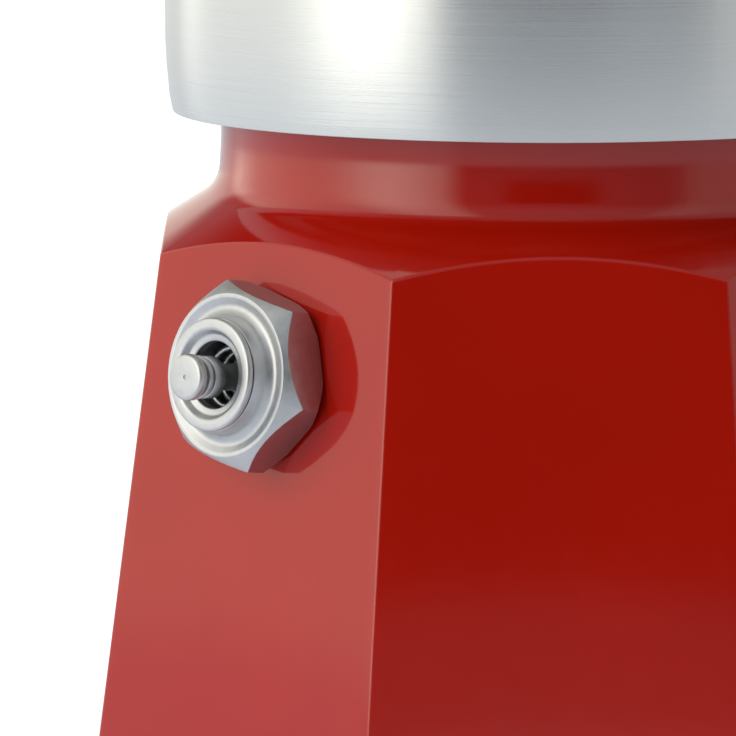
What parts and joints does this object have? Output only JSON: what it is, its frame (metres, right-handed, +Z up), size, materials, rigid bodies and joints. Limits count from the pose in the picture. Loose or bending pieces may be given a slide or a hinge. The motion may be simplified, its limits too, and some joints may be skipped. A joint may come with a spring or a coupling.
{
  "type": "moka pot",
  "caption": "Stovetop moka pot with a faceted glossy red boiler, safety valve, brushed aluminium collector with spout, hinged lid, knob and black side handle.",
  "frame": {"origin": "centre of the boiler's flat base, on the pot's vertical axis", "axes": "+Z up along the pot's axis, +X towards the handle, -X towards the spout, -Y a flat side of the boiler; the safety valve is on the side between -X and -Y"},
  "size_m": [0.138, 0.0876, 0.1616],
  "materials": {
    "red_lacquer": "glossy deep red lacquer on cast aluminium",
    "brushed_aluminium": "fine horizontal brush lines",
    "sheet_aluminium": "spun and pressed sheet, satin",
    "nickel_brass": "satin nickel-plated turned brass",
    "spring_steel": "drawn wire",
    "steel": "bright turned steel",
    "brass": "turned brass",
    "seal_rubber": "off-white food-grade rubber",
    "black_phenolic": "moulded black, softly glossy"
  },
  "bodies": {
    "boiler_body": {"boiler": "red_lacquer", "valve_body": "nickel_brass", "valve_washer": "seal_rubber", "valve_cap": "nickel_brass", "valve_spring": "spring_steel"},
    "valve_pin": {"valve_plunger": "nickel_brass", "valve_seal": "seal_rubber"},
    "funnel": {"funnel_basket": "sheet_aluminium", "funnel_tube": "sheet_aluminium", "funnel_screen": "sheet_aluminium"},
    "filter": {"filter_plate": "sheet_aluminium"},
    "seal": {"gasket": "seal_rubber"},
    "upper_pot": {"collector": "brushed_aluminium", "hinge_pin": "steel", "handle": "black_phenolic", "handle_screw": "steel", "handle_nut": "steel"},
    "lid_body": {"lid": "brushed_aluminium", "knob": "black_phenolic", "knob_insert": "brass", "knob_screw": "steel", "knob_washer": "steel"}
  },
  "joints": [
    {"name": "valve_lift", "type": "slide", "parent": "boiler_body", "child": "valve_pin", "axis": [-0.7011, -0.7011, 0.1299], "range_m": [0, 0.0012], "stiffness_N_per_m": 2000, "springref_m": -0.003, "deforming": ["valve_spring"]},
    {"name": "funnel_lift", "type": "slide", "parent": "boiler_body", "child": "funnel", "axis": [0, 0, 1], "range_m": [0, 0.085]},
    {"name": "collector_lift", "type": "slide", "parent": "funnel", "child": "filter", "axis": [0, 0, 1], "range_m": [0, 0.1]},
    {"name": "thread_rise", "type": "slide", "parent": "filter", "child": "seal", "axis": [0, 0, 1], "range_m": [0, 0.00375]},
    {"name": "collector_unscrew", "type": "hinge", "parent": "seal", "child": "upper_pot", "pos_m": [0, 0, 0.075], "axis": [0, 0, 1], "range_deg": [0, 450]},
    {"name": "lid_hinge", "type": "hinge", "parent": "upper_pot", "child": "lid_body", "pos_m": [0.0465, 0, 0.1405], "axis": [0, 1, 0], "range_deg": [0, 105]}
  ],
  "couplings": [
    {"joint": "thread_rise", "follows": "collector_unscrew", "m_per_rad": 0.00047746}
  ]
}
